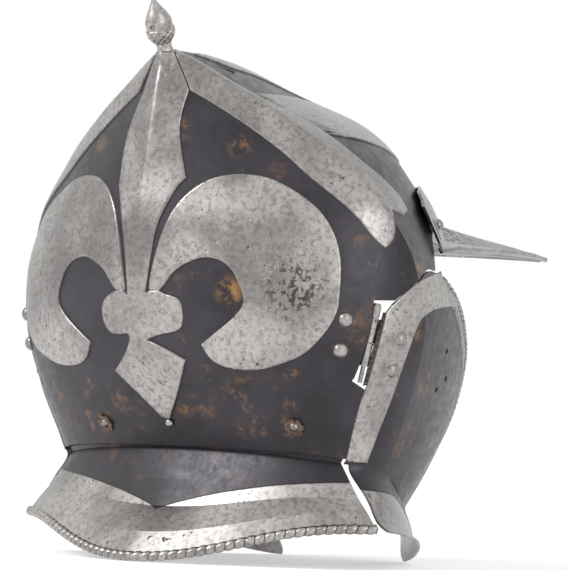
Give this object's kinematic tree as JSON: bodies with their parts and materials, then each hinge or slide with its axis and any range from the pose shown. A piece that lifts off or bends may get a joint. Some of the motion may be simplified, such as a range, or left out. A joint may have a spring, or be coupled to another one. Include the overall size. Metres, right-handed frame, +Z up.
{
  "type": "burgonet",
  "caption": "Pointed burgonet helmet with acorn finial, pivoting pointed peak, hinged cheekpieces and a flared, roped neck guard.",
  "frame": {"origin": "centre of the bounding box's underside, where the helmet rests on neck guard corner and cheek flanges", "axes": "+Z up, the brow and peak look along -Y, the wearer's right is -X"},
  "size_m": [0.224, 0.3304, 0.2612],
  "materials": {
    "black_iron": "blackened ground, slightly glossy, under polished raised bands",
    "white_steel": "old polished steel, finely pitted",
    "plain_iron": "dark worn iron",
    "rivet_iron": "polished domes with rust",
    "rusty_iron": "rusty"
  },
  "bodies": {
    "helmet": {"skull": "black_iron", "acorn_finial": "white_steel", "finial_washer": "plain_iron", "neck_guard": "white_steel", "nape_rivets": "rivet_iron", "nape_rosettes": "rusty_iron", "peak_pivot_rivet_right": "rivet_iron", "peak_pivot_rivet_left": "rivet_iron", "peak_pivot_washer_right": "plain_iron", "peak_pivot_washer_left": "plain_iron", "skull_hinge_leaf_right": "plain_iron", "skull_hinge_leaf_left": "plain_iron", "hinge_pin_right": "plain_iron", "hinge_pin_left": "plain_iron", "skull_hinge_rivets_right": "rivet_iron", "skull_hinge_rivets_left": "rivet_iron"},
    "peak": {"peak": "white_steel"},
    "cheek_right": {"cheekpiece_right": "black_iron", "cheek_hinge_leaf_right": "plain_iron", "cheek_hinge_rivets_right": "rivet_iron"},
    "cheek_left": {"cheekpiece_left": "black_iron", "cheek_hinge_leaf_left": "plain_iron", "cheek_hinge_rivets_left": "rivet_iron"}
  },
  "joints": [
    {"name": "peak_pivot", "type": "hinge", "parent": "helmet", "child": "peak", "pos_m": [0, 0.04474, 0.16002], "axis": [-1, 0, 0], "range_deg": [0, 10]},
    {"name": "right_cheek_hinge", "type": "hinge", "parent": "helmet", "child": "cheek_right", "pos_m": [-0.1046, 0.11742, 0.12086], "axis": [0.2086, 0.0389, -0.9772], "range_deg": [0, 75]},
    {"name": "left_cheek_hinge", "type": "hinge", "parent": "helmet", "child": "cheek_left", "pos_m": [0.1046, 0.11742, 0.12086], "axis": [0.2086, -0.0389, 0.9772], "range_deg": [0, 75]}
  ]
}
